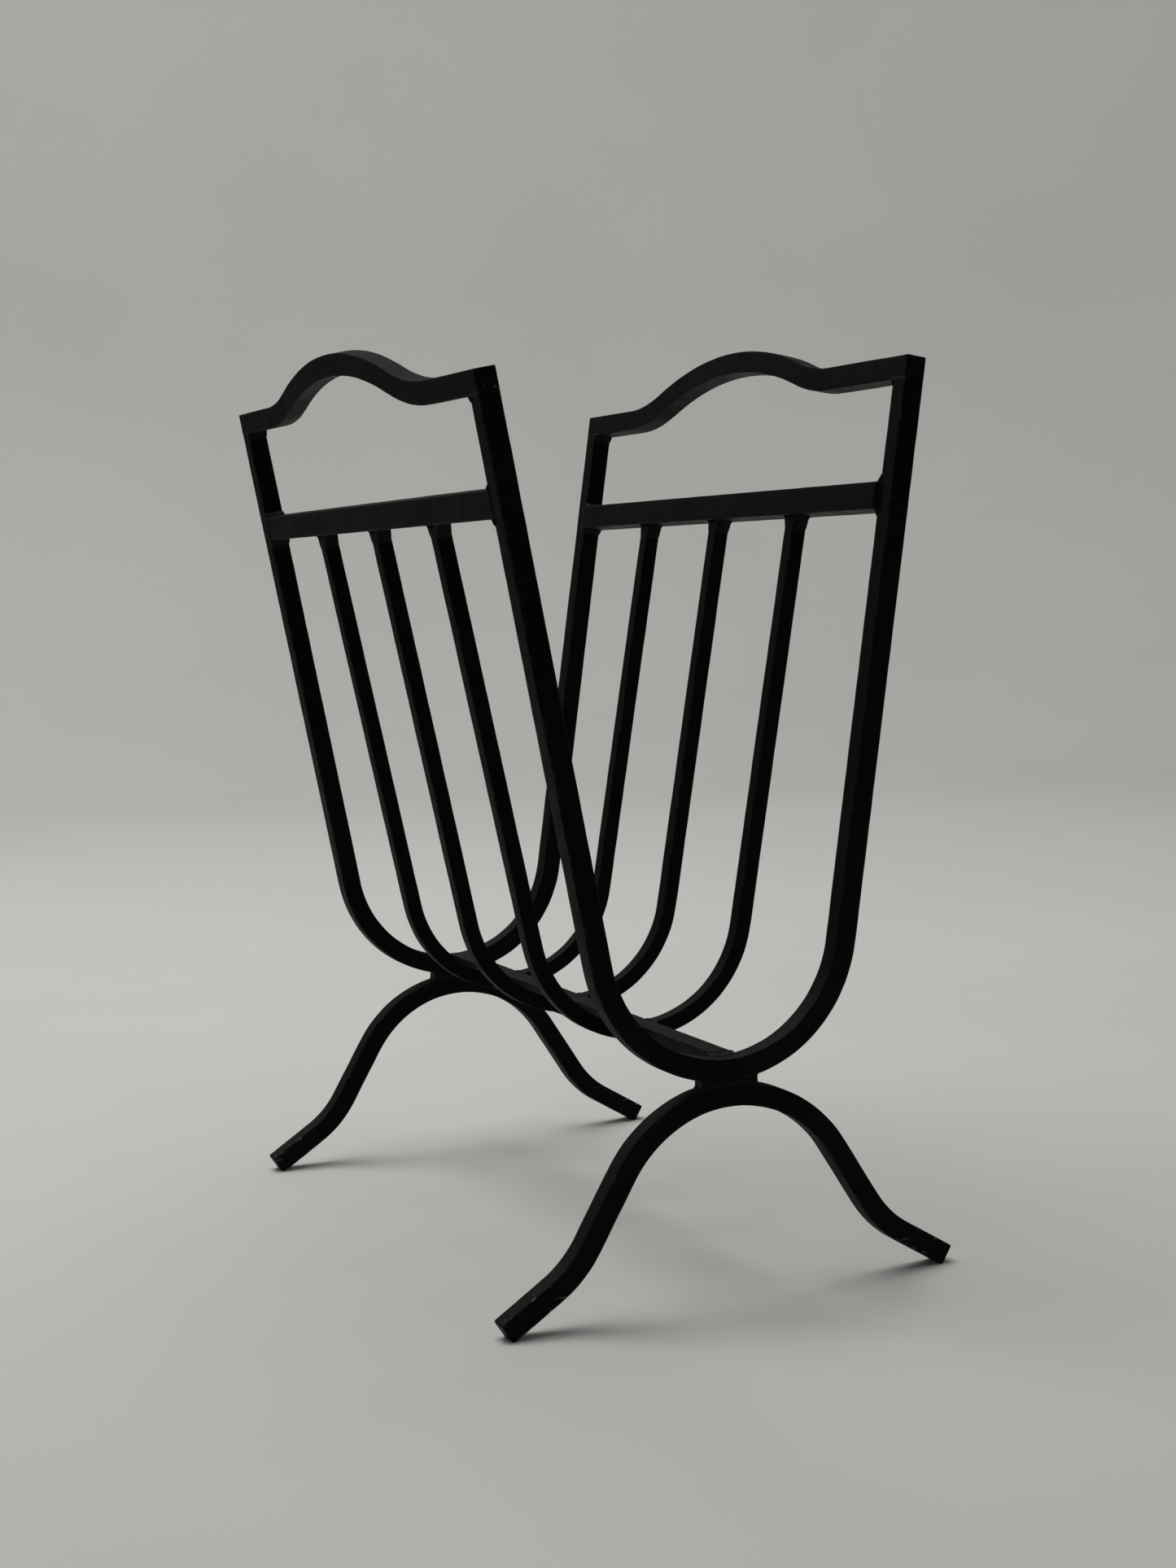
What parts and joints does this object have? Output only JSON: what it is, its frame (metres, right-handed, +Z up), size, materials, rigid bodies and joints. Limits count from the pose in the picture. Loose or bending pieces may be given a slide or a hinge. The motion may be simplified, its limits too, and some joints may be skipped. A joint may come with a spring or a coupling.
{
  "type": "newspaper rack",
  "caption": "Open newspaper rack: a V-shaped trough of bent square steel bars between scalloped handle rails, standing on splayed arched feet.",
  "frame": {"origin": "on the floor, under the middle of the rack", "axes": "+X across the rack to its right side, seen from the front end at -Y; +Y along the trough to the rear end; +Z up"},
  "size_m": [0.2278, 0.34, 0.4366],
  "materials": {
    "painted_bar": "satin black paint over square steel bar",
    "weld_metal": "satin black paint over rough weld metal"
  },
  "bodies": {
    "root": {"front_end_frame": "painted_bar", "rear_end_frame": "painted_bar", "left_bar_front": "painted_bar", "left_bar_middle": "painted_bar", "left_bar_rear": "painted_bar", "right_bar_front": "painted_bar", "right_bar_middle": "painted_bar", "right_bar_rear": "painted_bar", "left_cross_rail": "painted_bar", "right_cross_rail": "painted_bar", "left_handle_rail": "painted_bar", "right_handle_rail": "painted_bar", "spine_bar": "painted_bar", "front_foot_arch": "painted_bar", "rear_foot_arch": "painted_bar", "front_neck_weld": "weld_metal", "rear_neck_weld": "weld_metal", "handle_welds": "weld_metal", "cross_rail_welds": "weld_metal", "bar_top_welds": "weld_metal", "bar_foot_welds": "weld_metal", "spine_end_welds": "weld_metal"}
  },
  "joints": []
}
